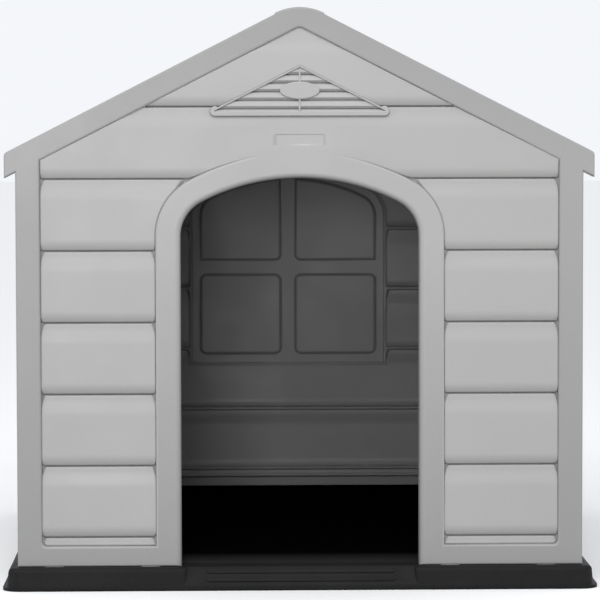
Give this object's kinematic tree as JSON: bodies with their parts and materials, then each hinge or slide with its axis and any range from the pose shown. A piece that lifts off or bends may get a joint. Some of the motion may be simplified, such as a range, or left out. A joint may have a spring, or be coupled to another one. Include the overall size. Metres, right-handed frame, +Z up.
{
  "type": "calf hutch",
  "caption": "Knock-down plastic animal hutch with gabled roof, arched doorway, lap siding, louvred gable vent and black base tray.",
  "frame": {"origin": "middle of the base tray's footprint, on its underside", "axes": "+X to the viewer's right facing the doorway, +Y from the doorway to the back, +Z up"},
  "size_m": [0.96, 1.05, 0.935],
  "materials": {
    "grey_plastic": "satin",
    "black_plastic": "satin",
    "pin_plastic": "satin"
  },
  "bodies": {
    "hutch": {"base_tray": "black_plastic", "front_panel": "grey_plastic", "back_panel": "grey_plastic", "left_side_panel": "grey_plastic", "right_side_panel": "grey_plastic", "left_roof_panel": "grey_plastic", "right_roof_panel": "grey_plastic", "ridge_cap": "grey_plastic", "vent_grille": "grey_plastic"},
    "pin_front_left_low_body": {"pin_front_left_low": "pin_plastic"},
    "pin_front_left_high_body": {"pin_front_left_high": "pin_plastic"},
    "pin_front_right_low_body": {"pin_front_right_low": "pin_plastic"},
    "pin_front_right_high_body": {"pin_front_right_high": "pin_plastic"},
    "pin_back_left_low_body": {"pin_back_left_low": "pin_plastic"},
    "pin_back_left_high_body": {"pin_back_left_high": "pin_plastic"},
    "pin_back_right_low_body": {"pin_back_right_low": "pin_plastic"},
    "pin_back_right_high_body": {"pin_back_right_high": "pin_plastic"},
    "pin_roof_front_left_body": {"pin_roof_front_left": "pin_plastic"},
    "pin_roof_front_right_body": {"pin_roof_front_right": "pin_plastic"},
    "pin_roof_back_left_body": {"pin_roof_back_left": "pin_plastic"},
    "pin_roof_back_right_body": {"pin_roof_back_right": "pin_plastic"}
  },
  "joints": [
    {"name": "pin_front_left_low_turn", "type": "hinge", "parent": "hutch", "child": "pin_front_left_low_body", "pos_m": [-0.4345, -0.497, 0.15], "axis": [0, 1, 0], "range_deg": [0, 90]},
    {"name": "pin_front_left_high_turn", "type": "hinge", "parent": "hutch", "child": "pin_front_left_high_body", "pos_m": [-0.4345, -0.497, 0.52], "axis": [0, 1, 0], "range_deg": [0, 90]},
    {"name": "pin_front_right_low_turn", "type": "hinge", "parent": "hutch", "child": "pin_front_right_low_body", "pos_m": [0.4345, -0.497, 0.15], "axis": [0, 1, 0], "range_deg": [0, 90]},
    {"name": "pin_front_right_high_turn", "type": "hinge", "parent": "hutch", "child": "pin_front_right_high_body", "pos_m": [0.4345, -0.497, 0.52], "axis": [0, 1, 0], "range_deg": [0, 90]},
    {"name": "pin_back_left_low_turn", "type": "hinge", "parent": "hutch", "child": "pin_back_left_low_body", "pos_m": [-0.4345, 0.497, 0.15], "axis": [0, -1, 0], "range_deg": [0, 90]},
    {"name": "pin_back_left_high_turn", "type": "hinge", "parent": "hutch", "child": "pin_back_left_high_body", "pos_m": [-0.4345, 0.497, 0.52], "axis": [0, -1, 0], "range_deg": [0, 90]},
    {"name": "pin_back_right_low_turn", "type": "hinge", "parent": "hutch", "child": "pin_back_right_low_body", "pos_m": [0.4345, 0.497, 0.15], "axis": [0, -1, 0], "range_deg": [0, 90]},
    {"name": "pin_back_right_high_turn", "type": "hinge", "parent": "hutch", "child": "pin_back_right_high_body", "pos_m": [0.4345, 0.497, 0.52], "axis": [0, -1, 0], "range_deg": [0, 90]},
    {"name": "pin_roof_front_left_turn", "type": "hinge", "parent": "hutch", "child": "pin_roof_front_left_body", "pos_m": [-0.24, -0.497, 0.7696], "axis": [0, 1, 0], "range_deg": [0, 90]},
    {"name": "pin_roof_front_right_turn", "type": "hinge", "parent": "hutch", "child": "pin_roof_front_right_body", "pos_m": [0.24, -0.497, 0.7696], "axis": [0, 1, 0], "range_deg": [0, 90]},
    {"name": "pin_roof_back_left_turn", "type": "hinge", "parent": "hutch", "child": "pin_roof_back_left_body", "pos_m": [-0.24, 0.497, 0.7696], "axis": [0, -1, 0], "range_deg": [0, 90]},
    {"name": "pin_roof_back_right_turn", "type": "hinge", "parent": "hutch", "child": "pin_roof_back_right_body", "pos_m": [0.24, 0.497, 0.7696], "axis": [0, -1, 0], "range_deg": [0, 90]}
  ]
}
